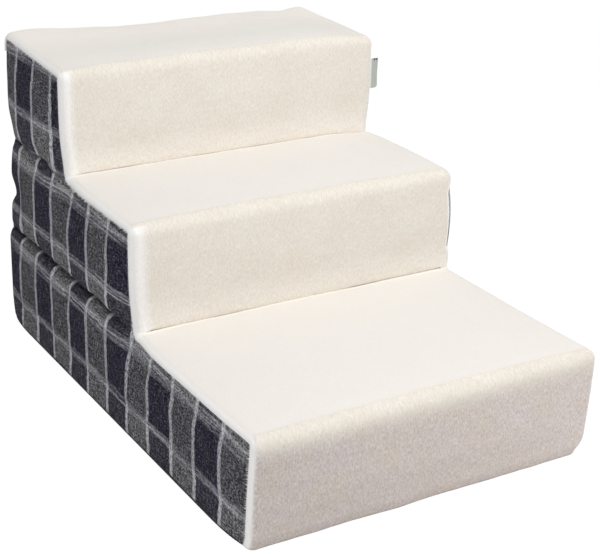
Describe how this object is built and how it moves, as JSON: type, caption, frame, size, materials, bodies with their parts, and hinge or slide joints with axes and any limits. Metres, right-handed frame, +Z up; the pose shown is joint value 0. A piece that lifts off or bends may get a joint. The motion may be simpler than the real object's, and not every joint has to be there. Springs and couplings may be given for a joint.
{
  "type": "pet stairs",
  "caption": "Soft foam pet stairs with a plush runner over the steps, plaid sides and back, a grip base and a zipped cover.",
  "frame": {"origin": "middle of the footprint on the floor, at the middle grip dot's flat underside", "axes": "+Z up, -Y towards the front where a pet starts to climb, +X to the right seen from the front"},
  "size_m": [0.405, 0.596, 0.3498],
  "materials": {
    "foam": "open-cell foam, matte",
    "plush": "short cream pile",
    "plaid": "woven grey and navy check",
    "base_cloth": "black non-slip cloth with rubber dots",
    "zip_tape": "woven black tape",
    "zip_teeth": "moulded black plastic",
    "zip_metal": "dark plated metal",
    "label": "grey satin ribbon"
  },
  "bodies": {
    "stairs": {"foam_bottom": "foam", "foam_middle": "foam", "foam_top": "foam", "plush_runner": "plush", "side_panel_left": "plaid", "side_panel_right": "plaid", "back_panel_upper": "plaid", "back_panel_lower": "plaid", "base_panel": "base_cloth", "zip_tape_upper": "zip_tape", "zip_tape_lower": "zip_tape", "zip_teeth_upper": "zip_teeth", "zip_teeth_lower": "zip_teeth", "zip_top_stops": "zip_metal", "zip_bottom_stop": "zip_metal", "label_tag": "label"},
    "slider": {"zip_slider": "zip_metal"},
    "pull": {"zip_pull": "zip_metal"}
  },
  "joints": [
    {"name": "zip_slide", "type": "slide", "parent": "stairs", "child": "slider", "axis": [-1, 0, 0], "range_m": [0, 0.3148], "deforming": ["zip_teeth_upper", "zip_teeth_lower"]},
    {"name": "pull_hinge", "type": "hinge", "parent": "slider", "child": "pull", "pos_m": [0.15986, 0.29435, 0.04], "axis": [0, 0, -1], "range_deg": [0, 175]}
  ]
}
